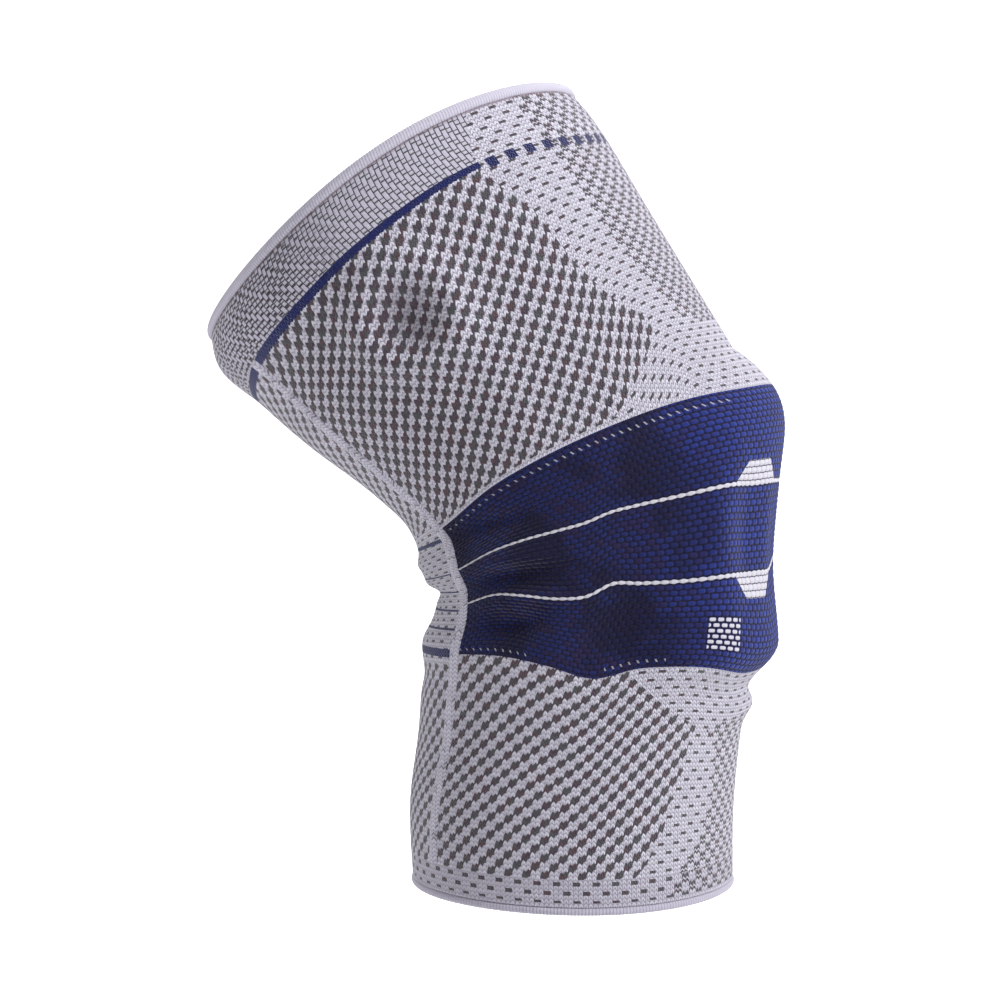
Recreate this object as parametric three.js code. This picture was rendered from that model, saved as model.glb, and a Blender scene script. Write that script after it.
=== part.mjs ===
// Knee sleeve: a seamless knitted support in the shape it takes on a bent knee.
// Millimetres, +Z up, +X to the front of the knee, +Y to the wearer's left.
// The origin is the centre of the knee, where the leg passes through the sleeve.
import * as THREE from 'three';

// Driving dimensions
const kneeFlexion = 36; // degrees between the thigh and the calf
const thighLength = 129; // knee centre to the top edge, along the thigh
const calfLength = 127; // knee centre to the bottom edge, along the calf
const thighDepth = 150; // front to back at the top edge
const thighWidth = 140; // side to side at the top edge
const kneeDepth = 120; // front to back at the knee, without the pad's bulge
const kneeWidth = 112;
const calfDepth = 112;
const calfWidth = 108;
const knitWall = 2.0; // thickness of the knitted wall
const topRoll = 4.2; // diameter of the rolled top hem
const bottomRoll = 2.8; // diameter of the linked bottom edge
const bottomBandHeight = 9; // plain band above the bottom edge
const topBandHeight = 17; // band between the stripe and the top edge, at the front
const seamWidth = 4.5; // pale rib beside the back panel
const seamRise = 0.9; // how far the rib stands above the knit
const padRise = 10; // how far the kneecap pad lifts the knit
const foldRise = 3; // deepest fold behind and beside the knee
const clearance = 0.3; // gap between neighbouring pieces
const padClearance = 0.7; // gap between the kneecap pad and the knit over it

// How finely the surfaces are divided
const panelColumns = 40; // round the front and both sides, from seam to seam
const backColumns = 8; // across the back panel
const thighRows = 8;
const kneeRows = 18;
const calfRows = 7;
const bandRows = 2;
const backRows = 26;
const seamColumns = 2;
const rollSides = 6;
const padColumns = 28;
const padRings = 3;

// A table's rows, each read by the names of its columns
function table(columns, rows) {
  return rows.map((row) => Object.fromEntries(columns.map((column, i) => [column, row[i]])));
}

// Sections across the leg, from the bottom edge to the top edge. Each column is a share:
// along: of the calf's or the thigh's length     lean: of the depth, towards the front
// tilt: of the knee's flexion                    depth, width: of the sizes named by size
// saddle: of the thigh's width, the sides' lift  front, back: roundness, 2 is an ellipse
const sections = table(['leg', 'along', 'lean', 'tilt', 'size', 'depth', 'width', 'saddle', 'front', 'back'], [
  ['calf', -1.0, -0.101, 0, 'calf', 0.99, 0.99, -0.012, 2.0, 2.1],
  ['calf', -0.781, -0.104, 0.01, 'calf', 1.003, 1.0, -0.006, 2.0, 2.1],
  ['calf', -0.56, -0.077, 0.05, 'calf', 1.002, 0.975, 0, 2.0, 2.2],
  ['calf', -0.375, -0.058, 0, 'knee', 0.942, 0.95, 0, 1.95, 2.3],
  ['calf', -0.19, -0.037, 0.15, 'knee', 0.915, 0.975, 0, 1.9, 2.4],
  ['calf', -0.047, -0.043, 0.44, 'knee', 1.0, 1.0, 0, 1.9, 2.4],
  ['thigh', 0.118, 0.021, 0.66, 'thigh', 0.854, 0.82, 0, 1.9, 2.3],
  ['thigh', 0.224, 0.039, 0.78, 'thigh', 0.859, 0.84, 0.004, 1.95, 2.3],
  ['thigh', 0.345, 0.036, 0.85, 'thigh', 0.881, 0.88, 0.012, 2.0, 2.2],
  ['thigh', 0.607, 0.016, 0.96, 'thigh', 0.956, 0.955, 0.026, 2.1, 2.05],
  ['thigh', 0.813, 0.008, 1.07, 'thigh', 1.007, 1.01, 0.047, 2.1, 2.05],
  ['thigh', 0.924, -0.006, 0.98, 'thigh', 1.03, 1.03, 0.058, 2.1, 2.05],
  ['thigh', 1.0, 0.008, 0.933, 'thigh', 0.988, 1.0, 0.068, 2.1, 2.05],
]);
const saddleSkew = 0.3; // the sides' lift leans towards the front

// Folds, dents and ribs, the same on both sides of the leg. Each one is a soft mound or hollow:
// angle: degrees from the front     along: share of the calf (below 0) or the thigh length
// rise: share of foldRise           wide: its reach round the leg in degrees
// high: its reach along the leg, as a share of the calf's length
// turn: degrees that its long axis is turned from lying straight round the leg
const folds = table(['angle', 'along', 'rise', 'wide', 'high', 'turn'], [
  [180, 0.045, 0.5, 34, 0.045, 0],
  [180, -0.15, -0.75, 34, 0.04, 0],
  [180, -0.33, 0.45, 34, 0.045, 0],
  [180, -0.43, -0.3, 34, 0.035, 0],
  [124, 0.08, -0.8, 15, 0.05, 10],
  [120, -0.11, -0.85, 14, 0.045, 5],
  [118, -0.27, -1, 14, 0.055, -5],
  [122, -0.035, 0.5, 14, 0.03, 8],
  [118, -0.195, 0.5, 15, 0.03, 0],
  [83, -0.29, -0.85, 11, 0.1, 0],
  [105, -0.3, 0.5, 9, 0.08, 0],
  [97, 0.45, 0.35, 8, 0.19, 14],
  [0, -0.52, 1, 48, 0.04, 0],
]);
const thighRing = { angle: 105, along: 0.665, radius: 0.12, rise: 0.45, hollow: -0.5, spread: 0.05 };

// The bulge over the kneecap pad, the dip over the kneecap inside it, and the pad's own ring.
// Places and heights along the leg are shares of the thigh or the calf, angles are in degrees.
const padBulgeShape = {
  top: 0.23, // share of the thigh's length where the bulge starts
  crest: 0.02,
  steepness: 2, // how abruptly the bulge starts
  shoulder: 0.1, // how far its start falls back at the sides, a share of the thigh's length
  sill: -0.34,
  foot: -0.48, // share of the calf's length where the bulge ends
  crestAngle: 42, // degrees from the front
  edgeAngle: 82,
};
const kneecapDip = { middle: -0.12, high: 0.14, angle: 44, share: 0.3, inner: 0.8, outer: 1.15 };
const padRingShape = { middle: -0.115, holeHigh: 0.1, holeAngle: 24, reachHigh: 0.24, reachAngle: 60 };

// Angle of the seams from the front, in degrees, along the leg
const seamPath = [
  { along: -1, angle: 148.5 },
  { along: -0.68, angle: 145 },
  { along: -0.37, angle: 142 },
  { along: -0.03, angle: 142 },
  { along: 0.19, angle: 148 },
  { along: 1, angle: 150.5 },
];

// Edges of the dark knee zone at angles from the front, as shares of the thigh and the calf,
// and of the top band's lower edge as a share of topBandHeight above or below its front
const zoneEdges = table(['angle', 'top', 'bottom', 'band'], [
  [0, 0.127, -0.395, 0],
  [30, 0.148, -0.412, -0.05],
  [58, 0.182, -0.383, 0.22],
  [73, 0.193, -0.386, 0.32],
  [90, 0.202, -0.412, 0.37],
  [106, 0.205, -0.38, 0.4],
  [120, 0.2, -0.36, 0.4],
  [148, 0.15, -0.36, 0.36],
  [180, 0.15, -0.36, 0.06],
]);

const degrees = Math.PI / 180;
const legLength = { calf: calfLength, thigh: thighLength };
const legDepth = { calf: calfDepth, knee: kneeDepth, thigh: thighDepth };
const legWidth = { calf: calfWidth, knee: kneeWidth, thigh: thighWidth };
const legAxis = {
  calf: [0, 1],
  thigh: [-Math.sin(kneeFlexion * degrees), Math.cos(kneeFlexion * degrees)],
};

// The station is the distance along the leg in millimetres, below 0 on the calf
const stationOf = (along) => along * (along < 0 ? calfLength : thighLength);

function smooth(low, high, value) {
  const t = THREE.MathUtils.clamp((value - low) / (high - low), 0, 1);
  return t * t * (3 - 2 * t);
}

// Smooth curve through the rows of a table, read at any position
function curveThrough(rows, position, column) {
  const last = rows.length - 1;
  const chord = (i) => (rows[i + 1][column] - rows[i][column]) / (rows[i + 1][position] - rows[i][position]);
  const slopes = rows.map((row, i) => {
    if (i === 0) return chord(0);
    if (i === last) return chord(last - 1);
    const before = rows[i][position] - rows[i - 1][position];
    const after = rows[i + 1][position] - rows[i][position];
    return (chord(i - 1) * after + chord(i) * before) / (before + after);
  });
  return (at) => {
    let i = 0;
    while (i < last - 1 && at > rows[i + 1][position]) i += 1;
    const span = rows[i + 1][position] - rows[i][position];
    const t = (at - rows[i][position]) / span;
    const rise = t * t * (3 - 2 * t);
    return rows[i][column] * (1 - rise) + rows[i + 1][column] * rise
      + span * t * (1 - t) * ((1 - t) * slopes[i] - t * slopes[i + 1]);
  };
}

const sectionRows = sections.map((row) => {
  const [axisX, axisZ] = legAxis[row.leg];
  const station = row.along * legLength[row.leg];
  const lean = row.lean * legDepth[row.leg];
  return {
    station,
    x: station * axisX + lean * axisZ,
    z: station * axisZ - lean * axisX,
    tilt: row.tilt * kneeFlexion * degrees,
    halfDepth: (row.depth * legDepth[row.size]) / 2,
    halfWidth: (row.width * legWidth[row.size]) / 2,
    saddle: row.saddle * thighWidth,
    front: row.front,
    back: row.back,
  };
});
const sectionCurve = {};
for (const column of ['x', 'z', 'tilt', 'halfDepth', 'halfWidth', 'saddle', 'front', 'back']) {
  sectionCurve[column] = curveThrough(sectionRows, 'station', column);
}

const seamRows = seamPath.map((row) => ({ station: stationOf(row.along), angle: row.angle * degrees }));
const seamAngle = curveThrough(seamRows, 'station', 'angle');

const foldRows = folds.map((row) => ({
  angle: row.angle * degrees,
  station: stationOf(row.along),
  rise: row.rise * foldRise,
  wide: row.wide * degrees,
  high: row.high * calfLength,
  turn: row.turn * degrees,
}));

// Distance from the front, from 0 to half a turn, the same on both sides
function angleFromFront(angle) {
  return Math.abs(Math.atan2(Math.sin(angle), Math.cos(angle)));
}

function padBulge(fromFront, station) {
  const { top, crest, steepness, shoulder, sill, foot, crestAngle, edgeAngle } = padBulgeShape;
  const fallBack = shoulder * thighLength * (fromFront / (edgeAngle * degrees)) ** 2;
  const start = stationOf(top) - fallBack;
  const climb = THREE.MathUtils.clamp((start - station) / (stationOf(top) - stationOf(crest)), 0, 1);
  const upper = 1 - (1 - climb) ** steepness;
  const lower = smooth(stationOf(foot), stationOf(sill), station);
  const side = 1 - smooth(crestAngle * degrees, edgeAngle * degrees, fromFront);
  const { middle, high, angle, share, inner, outer } = kneecapDip;
  const offMiddle = (station - stationOf(middle)) / (high * calfLength);
  const dip = Math.exp(-(offMiddle ** 2)) * (1 - smooth(inner, outer, fromFront / (angle * degrees)));
  return padRise * upper * lower * side * (1 - share * dip);
}

function foldHeight(fromFront, station) {
  const nominalRadius = kneeWidth / 2;
  let height = 0;
  for (const fold of foldRows) {
    const round = (fromFront - fold.angle) * nominalRadius;
    const along = station - fold.station;
    const across = round * Math.cos(fold.turn) + along * Math.sin(fold.turn);
    const up = along * Math.cos(fold.turn) - round * Math.sin(fold.turn);
    height += fold.rise * Math.exp(-((across / (fold.wide * nominalRadius)) ** 2) - (up / fold.high) ** 2);
  }
  const ringRound = (fromFront - thighRing.angle * degrees) * (thighWidth / 2);
  const distance = Math.hypot(ringRound, station - stationOf(thighRing.along)) / thighLength;
  height += foldRise * thighRing.rise * Math.exp(-(((distance - thighRing.radius) / thighRing.spread) ** 2));
  height += foldRise * thighRing.hollow * Math.exp(-((distance / thighRing.spread) ** 2));
  return height;
}

// A point on the outside of the knit, or of its form without pad and folds when plain is true
function outerPoint(angle, station, plain = false) {
  const section = {};
  for (const [column, curve] of Object.entries(sectionCurve)) section[column] = curve(station);
  const cosine = Math.cos(angle);
  const sine = Math.sin(angle);
  const power = section.front + ((section.back - section.front) * (1 - cosine)) / 2;
  const inDepth = Math.abs(cosine / section.halfDepth) ** power;
  const inWidth = Math.abs(sine / section.halfWidth) ** power;
  let radius = (inDepth + inWidth) ** (-1 / power);
  if (!plain) {
    const fromFront = angleFromFront(angle);
    radius += padBulge(fromFront, station) + foldHeight(fromFront, station);
  }
  const forward = radius * cosine;
  const lift = section.saddle * sine ** 2 * (1 + saddleSkew * cosine);
  return new THREE.Vector3(
    section.x + forward * Math.cos(section.tilt) - lift * Math.sin(section.tilt),
    radius * sine,
    section.z + forward * Math.sin(section.tilt) + lift * Math.cos(section.tilt),
  );
}

// A point at a depth below the outside, measured square to the surface
function pointAt(angle, station, depth, plain = false) {
  const step = 0.01;
  const point = outerPoint(angle, station, plain);
  const round = outerPoint(angle + step, station, plain).sub(outerPoint(angle - step, station, plain));
  const up = outerPoint(angle, station + 1, plain).sub(outerPoint(angle, station - 1, plain));
  const inward = round.cross(up).normalize().negate();
  return point.addScaledVector(inward, depth);
}

// Millimetres of surface for one radian round the leg, and for one millimetre of station
function stretchRound(angle, station) {
  const step = 0.02;
  return outerPoint(angle + step, station).distanceTo(outerPoint(angle - step, station)) / (2 * step);
}
function stretchAlong(angle, station) {
  return outerPoint(angle, station + 1).distanceTo(outerPoint(angle, station - 1)) / 2;
}
const roundBy = (millimetres, angle, station) => millimetres / stretchRound(angle, station);
const alongBy = (millimetres, angle, station) => millimetres / stretchAlong(angle, station);

const edgeRows = zoneEdges.map((row) => ({
  angle: row.angle * degrees,
  top: stationOf(row.top),
  bottom: stationOf(row.bottom),
  band: row.band * topBandHeight,
}));
const zoneTop = curveThrough(edgeRows, 'angle', 'top');
const zoneBottom = curveThrough(edgeRows, 'angle', 'bottom');
const bandLift = curveThrough(edgeRows, 'angle', 'band');

const rollEnd = (angle, station, roll) => alongBy(roll, angle, station);
const topEnd = (angle) => thighLength - rollEnd(angle, thighLength, topRoll);
const bottomEnd = (angle) => -calfLength + rollEnd(angle, -calfLength, bottomRoll);

// Lines on the leg where one zone ends and the next begins, as a station for each angle
const lines = {
  topEnd,
  stripe: (angle) => topEnd(angle) - topBandHeight - topRoll + bandLift(angleFromFront(angle)),
  zoneTop: (angle) => zoneTop(angleFromFront(angle)),
  zoneBottom: (angle) => zoneBottom(angleFromFront(angle)),
  bottomBand: (angle) => bottomEnd(angle) + alongBy(bottomBandHeight, angle, -calfLength),
  bottomEnd,
};

// Half a gap is left on each side of a line
const above = (line) => (angle) => line(angle) + alongBy(clearance / 2, angle, line(angle));
const below = (line) => (angle) => line(angle) - alongBy(clearance / 2, angle, line(angle));

// Angles at a station, from one side of the leg to the other
const seamEdge = (station, outward) => {
  const angle = seamAngle(station);
  return angle + outward * roundBy(seamWidth / 2, angle, station);
};
const halfGap = (station) => roundBy(clearance / 2, seamAngle(station), station);
const panelSpan = (station) => {
  const edge = seamEdge(station, -1) - halfGap(station);
  return [-edge, edge];
};
const backSpan = (station) => {
  const edge = seamEdge(station, 1) + halfGap(station);
  return [edge, 2 * Math.PI - edge];
};
const seamSpan = (station) => {
  const gap = halfGap(station);
  return [seamEdge(station, -1) + gap, seamEdge(station, 1) - gap];
};

// A closed body from a block of points: columns round the leg, rows along it, outside and inside
function closedSheet(outer, inner, columns, rows, wraps) {
  const positions = [];
  const indices = [];
  const lineLength = rows + 1;
  const lineCount = wraps ? columns : columns + 1;
  for (const side of [outer, inner]) {
    for (let i = 0; i < lineCount; i += 1) {
      for (let j = 0; j <= rows; j += 1) positions.push(...side(i, j).toArray());
    }
  }
  const insideStart = lineCount * lineLength;
  const outside = (i, j) => (i % lineCount) * lineLength + j;
  const inside = (i, j) => insideStart + outside(i, j);
  const quad = (a, b, c, d) => indices.push(a, b, c, a, c, d);
  for (let i = 0; i < columns; i += 1) {
    for (let j = 0; j < rows; j += 1) {
      quad(outside(i, j), outside(i + 1, j), outside(i + 1, j + 1), outside(i, j + 1));
      quad(inside(i, j), inside(i, j + 1), inside(i + 1, j + 1), inside(i + 1, j));
    }
    quad(inside(i, 0), inside(i + 1, 0), outside(i + 1, 0), outside(i, 0));
    quad(outside(i, rows), outside(i + 1, rows), inside(i + 1, rows), inside(i, rows));
  }
  if (!wraps) {
    for (let j = 0; j < rows; j += 1) {
      quad(outside(0, j), outside(0, j + 1), inside(0, j + 1), inside(0, j));
      quad(outside(columns, j + 1), outside(columns, j), inside(columns, j), inside(columns, j + 1));
    }
  }
  const geometry = new THREE.BufferGeometry();
  geometry.setAttribute('position', new THREE.Float32BufferAttribute(positions, 3));
  geometry.setIndex(indices);
  geometry.computeVertexNormals();
  return geometry;
}

// A piece of the knit between two angles and two lines. The angles follow the station and the
// lines follow the angle, so each point is found in a few steps.
function knitSheet({ span, low, high, columns, rows, wraps = false, rise = () => 0 }) {
  const settle = 4;
  const grid = [];
  for (let i = 0; i <= columns; i += 1) {
    for (let j = 0; j <= rows; j += 1) {
      let station = 0;
      let angle = 0;
      for (let step = 0; step < settle; step += 1) {
        angle = span(station, i / columns, i);
        station = THREE.MathUtils.lerp(low(angle), high(angle), j / rows);
      }
      grid.push([angle, station]);
    }
  }
  const at = (i, j) => grid[i * (rows + 1) + j];
  const outer = (i, j) => pointAt(...at(i, j), -rise(i / columns));
  const inner = (i, j) => pointAt(...at(i, j), knitWall);
  return closedSheet(outer, inner, columns, rows, wraps);
}

const across = (ends) => (station, share) => THREE.MathUtils.lerp(...ends(station), share);

// All the way round, in step with the columns of the panels and of the back panel
function allRound(station, share, column) {
  const seam = seamAngle(station);
  if (column <= panelColumns) return THREE.MathUtils.lerp(-seam, seam, column / panelColumns);
  return THREE.MathUtils.lerp(seam, 2 * Math.PI - seam, (column - panelColumns) / backColumns);
}
const ringColumns = panelColumns + backColumns;

// A round welt along an edge of the tube
function rolledEdge(edgeStation, diameter) {
  const inwards = edgeStation > 0 ? -1 : 1;
  const positions = [];
  const indices = [];
  for (let i = 0; i < ringColumns; i += 1) {
    const angle = allRound(edgeStation, 0, i);
    const middleStation = edgeStation + inwards * alongBy(diameter / 2, angle, edgeStation);
    const middle = pointAt(angle, middleStation, knitWall / 2);
    const outward = outerPoint(angle, middleStation).sub(middle).normalize();
    const up = outerPoint(angle, middleStation + 1).sub(outerPoint(angle, middleStation - 1)).normalize();
    const radius = (diameter - clearance) / 2;
    for (let k = 0; k < rollSides; k += 1) {
      const turn = ((k + 0.5) * 2 * Math.PI) / rollSides;
      const point = middle.clone();
      point.addScaledVector(outward, radius * Math.cos(turn));
      point.addScaledVector(up, radius * Math.sin(turn));
      positions.push(...point.toArray());
    }
  }
  const corner = (i, k) => (i % ringColumns) * rollSides + (k % rollSides);
  for (let i = 0; i < ringColumns; i += 1) {
    for (let k = 0; k < rollSides; k += 1) {
      indices.push(corner(i, k), corner(i + 1, k), corner(i + 1, k + 1));
      indices.push(corner(i, k), corner(i + 1, k + 1), corner(i, k + 1));
    }
  }
  const geometry = new THREE.BufferGeometry();
  geometry.setAttribute('position', new THREE.Float32BufferAttribute(positions, 3));
  geometry.setIndex(indices);
  geometry.computeVertexNormals();
  return geometry;
}

// The pad under the knit: a ring round the kneecap that fills the bulge
function padRing() {
  const cover = knitWall + padClearance;
  const { middle, holeHigh, holeAngle, reachHigh, reachAngle } = padRingShape;
  const at = (i, j) => {
    const turn = -(i / padColumns) * 2 * Math.PI;
    const share = j / padRings;
    const halfAngle = THREE.MathUtils.lerp(holeAngle, reachAngle, share) * degrees;
    const halfHigh = THREE.MathUtils.lerp(holeHigh, reachHigh, share) * calfLength;
    return [halfAngle * Math.cos(turn), stationOf(middle) + halfHigh * Math.sin(turn)];
  };
  const outer = (i, j) => pointAt(...at(i, j), cover);
  const inner = (i, j) => pointAt(...at(i, j), cover, true);
  return closedSheet(outer, inner, padColumns, padRings, true);
}

// The rib is flush at its edges and stands up along its middle
const ribRise = (share) => seamRise * Math.sin(Math.PI * THREE.MathUtils.clamp(share, 0.2, 0.8));
const leftSeam = (station) => seamSpan(station);
const rightSeam = (station) => seamSpan(station).map((angle) => -angle).reverse();

const band = { span: allRound, columns: ringColumns, rows: bandRows, wraps: true };
const panel = { span: across(panelSpan), columns: panelColumns };
const strip = { low: above(lines.bottomBand), high: below(lines.stripe), rows: backRows };
const rib = { ...strip, columns: seamColumns, rise: ribRise };

const shapes = {
  top_hem: rolledEdge(thighLength, topRoll),
  top_band: knitSheet({ ...band, low: above(lines.stripe), high: below(lines.topEnd) }),
  thigh_panel: knitSheet({ ...panel, low: above(lines.zoneTop), high: below(lines.stripe), rows: thighRows }),
  knee_panel: knitSheet({ ...panel, low: above(lines.zoneBottom), high: below(lines.zoneTop), rows: kneeRows }),
  calf_panel: knitSheet({
    ...panel,
    low: above(lines.bottomBand),
    high: below(lines.zoneBottom),
    rows: calfRows,
  }),
  back_panel: knitSheet({ ...strip, span: across(backSpan), columns: backColumns }),
  seam_left: knitSheet({ ...rib, span: across(leftSeam) }),
  seam_right: knitSheet({ ...rib, span: across(rightSeam) }),
  bottom_band: knitSheet({ ...band, low: above(lines.bottomEnd), high: below(lines.bottomBand) }),
  bottom_hem: rolledEdge(-calfLength, bottomRoll),
  patella_pad: padRing(),
};

// Colour and roughness of each piece
const finishes = {
  top_hem: [0xd2d0dd, 0.85],
  top_band: [0xc9c7d6, 0.9],
  thigh_panel: [0x9a97a5, 0.9],
  knee_panel: [0x1e2252, 0.85],
  calf_panel: [0x9a97a5, 0.9],
  back_panel: [0xb9b6c4, 0.9],
  seam_left: [0xd2d0dd, 0.9],
  seam_right: [0xd2d0dd, 0.9],
  bottom_band: [0xc9c7d6, 0.9],
  bottom_hem: [0xd2d0dd, 0.85],
  patella_pad: [0x3a3d66, 0.6],
};

const kneeSleeve = new THREE.Group();
for (const [name, geometry] of Object.entries(shapes)) {
  const [color, roughness] = finishes[name];
  const mesh = new THREE.Mesh(geometry, new THREE.MeshStandardMaterial({ color, roughness, metalness: 0 }));
  mesh.name = name;
  kneeSleeve.add(mesh);
}

export default kneeSleeve;
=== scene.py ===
"""A knitted knee sleeve in its worn shape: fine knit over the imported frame, its hems, ribs and pad.

Lengths are in millimetres and angles in degrees from the front, until a mesh is made in metres.
+Z is up, +X is the front of the knee and +Y is the wearer's left.
"""

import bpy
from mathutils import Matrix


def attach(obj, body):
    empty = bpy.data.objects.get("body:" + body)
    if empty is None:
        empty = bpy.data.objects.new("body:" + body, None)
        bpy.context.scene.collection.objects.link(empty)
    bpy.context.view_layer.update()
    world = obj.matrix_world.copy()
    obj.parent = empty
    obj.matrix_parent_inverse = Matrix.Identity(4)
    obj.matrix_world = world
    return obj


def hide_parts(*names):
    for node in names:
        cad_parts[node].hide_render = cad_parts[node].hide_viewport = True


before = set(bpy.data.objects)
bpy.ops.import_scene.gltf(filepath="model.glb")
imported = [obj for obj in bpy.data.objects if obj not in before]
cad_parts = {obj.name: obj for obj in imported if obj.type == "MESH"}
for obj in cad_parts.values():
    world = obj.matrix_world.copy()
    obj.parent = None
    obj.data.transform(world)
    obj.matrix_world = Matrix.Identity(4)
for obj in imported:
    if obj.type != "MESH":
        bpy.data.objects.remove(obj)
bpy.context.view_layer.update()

import math

import bpy
import numpy as np
from mathutils import Vector

MM = 0.001
SHARP_EDGE = math.radians(50)

# Driving dimensions, as in the frame
KNEE_FLEXION = math.radians(36)
THIGH_LENGTH = 129
CALF_LENGTH = 127
LEG_DEPTH = {"calf": 112, "knee": 120, "thigh": 150}
LEG_WIDTH = {"calf": 108, "knee": 112, "thigh": 140}
KNIT_WALL = 2.0
TOP_ROLL = 4.2
BOTTOM_ROLL = 2.8
BOTTOM_BAND = 9
TOP_BAND = 17
SEAM_WIDTH = 4.5
SEAM_RISE = 0.9
PAD_RISE = 10
FOLD_RISE = 3
PAD_CLEARANCE = 0.7
SADDLE_SKEW = 0.3

# Wales round the leg, and courses along it
WALES = {"thigh": 256, "calf": 224, "bottom_band": 212}
BASKET_WALES = 255
THIGH_LEAN = -0.14  # wales sideways for each course of the thigh
COURSES = {"top_band": 15, "thigh": 62, "calf": 48, "back": 156, "bottom_band": 6}
FRONT_COURSES = {"share": 0.2, "from": 75, "to": 42}  # more courses down the front of the thigh
BAND_STITCH_COURSES = 0.8  # courses of the plain stitches in the top band, for each basket course
NAVY_ROWS = {"upper": 16, "middle": 14, "lower": 16}
NAVY_FOOT = -NAVY_ROWS["middle"] - NAVY_ROWS["lower"]
RELIEF = {"navy": 0.22, "basket": 0.12, "rib": 0.12, "hem": 0.07}  # of the stitches, in mm


def table(columns, rows):
    """The rows of a table as one array for each named column."""
    return {name: np.array([row[i] for row in rows]) for i, name in enumerate(columns.split())}


# Sections across the leg from the bottom edge to the top edge, as shares of the sizes above
SECTIONS = table("leg along lean tilt size depth width saddle front back", [
    ("calf", -1.0, -0.101, 0, "calf", 0.99, 0.99, -0.012, 2.0, 2.1),
    ("calf", -0.781, -0.104, 0.01, "calf", 1.003, 1.0, -0.006, 2.0, 2.1),
    ("calf", -0.56, -0.077, 0.05, "calf", 1.002, 0.975, 0, 2.0, 2.2),
    ("calf", -0.375, -0.058, 0, "knee", 0.942, 0.95, 0, 1.95, 2.3),
    ("calf", -0.19, -0.037, 0.15, "knee", 0.915, 0.975, 0, 1.9, 2.4),
    ("calf", -0.047, -0.043, 0.44, "knee", 1.0, 1.0, 0, 1.9, 2.4),
    ("thigh", 0.118, 0.021, 0.66, "thigh", 0.854, 0.82, 0, 1.9, 2.3),
    ("thigh", 0.224, 0.039, 0.78, "thigh", 0.859, 0.84, 0.004, 1.95, 2.3),
    ("thigh", 0.345, 0.036, 0.85, "thigh", 0.881, 0.88, 0.012, 2.0, 2.2),
    ("thigh", 0.607, 0.016, 0.96, "thigh", 0.956, 0.955, 0.026, 2.1, 2.05),
    ("thigh", 0.813, 0.008, 1.07, "thigh", 1.007, 1.01, 0.047, 2.1, 2.05),
    ("thigh", 0.924, -0.006, 0.98, "thigh", 1.03, 1.03, 0.058, 2.1, 2.05),
    ("thigh", 1.0, 0.008, 0.933, "thigh", 0.988, 1.0, 0.068, 2.1, 2.05),
])

# Soft folds and hollows of the worn knit, the same on both sides of the leg
FOLDS = table("angle along rise wide high turn", [
    (180, 0.045, 0.5, 34, 0.045, 0),
    (180, -0.15, -0.75, 34, 0.04, 0),
    (180, -0.33, 0.45, 34, 0.045, 0),
    (180, -0.43, -0.3, 34, 0.035, 0),
    (124, 0.08, -0.8, 15, 0.05, 10),
    (120, -0.11, -0.85, 14, 0.045, 5),
    (118, -0.27, -1, 14, 0.055, -5),
    (122, -0.035, 0.5, 14, 0.03, 8),
    (118, -0.195, 0.5, 15, 0.03, 0),
    (83, -0.29, -0.85, 11, 0.1, 0),
    (105, -0.3, 0.5, 9, 0.08, 0),
    (97, 0.45, 0.35, 8, 0.19, 14),
    (0, -0.52, 1, 48, 0.04, 0),
    (127, 0.1, -0.4, 9, 0.028, 12),
    (121, -0.1, -0.5, 9, 0.03, 5),
    (120, -0.27, -0.5, 9, 0.03, -5),
    (104, -0.19, 0.35, 20, 0.022, 6),
    (108, -0.07, 0.3, 20, 0.02, 10),
    (53, -0.1, 0.35, 4.5, 0.09, 0),
    (40, -0.11, -0.5, 8, 0.1, 0),
    (25, -0.12, 0.3, 5, 0.08, 0),
])
THIGH_RING = {"angle": 105, "along": 0.665, "radius": 0.12, "rise": 1.2, "hollow": -1.0, "spread": 0.05}
PAD_BULGE = {"top": 0.23, "crest": 0.02, "steepness": 2, "shoulder": 0.1, "sill": -0.34,
             "foot": -0.48, "crest_angle": 42, "edge_angle": 82}
KNEECAP_DIP = {"middle": -0.12, "high": 0.14, "angle": 44, "share": 0.3, "inner": 0.8, "outer": 1.15}
PAD_RING = {"middle": -0.115, "hole_high": 0.1, "hole_angle": 24, "reach_high": 0.24, "reach_angle": 60}

SEAM_PATH = table("along angle", [
    (-1, 148.5), (-0.68, 145), (-0.37, 142), (-0.03, 142), (0.19, 148), (1, 150.5),
])

# Edges of the navy zone and of the top band, as in the frame
ZONE_EDGES = table("angle top bottom band", [
    (0, 0.127, -0.395, 0),
    (30, 0.148, -0.412, -0.05),
    (58, 0.182, -0.383, 0.22),
    (73, 0.193, -0.386, 0.32),
    (90, 0.202, -0.412, 0.37),
    (106, 0.205, -0.38, 0.4),
    (120, 0.2, -0.36, 0.4),
    (148, 0.15, -0.36, 0.36),
    (180, 0.15, -0.36, 0.06),
])

# The two white lines on the navy zone, as shares of the calf's length
WHITE_LINES = table("angle first second", [
    (0, -0.047, -0.17),
    (12, -0.047, -0.17),
    (20, -0.044, -0.187),
    (31, -0.039, -0.188),
    (48, -0.024, -0.185),
    (64, -0.013, -0.185),
    (77, -0.003, -0.18),
    (86, 0.002, -0.174),
    (95, -0.004, -0.2),
    (104, 0, -0.2),
    (117, 0.006, -0.18),
    (125, 0.004, -0.17),
    (142, -0.035, -0.204),
    (180, -0.035, -0.204),
])

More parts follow.
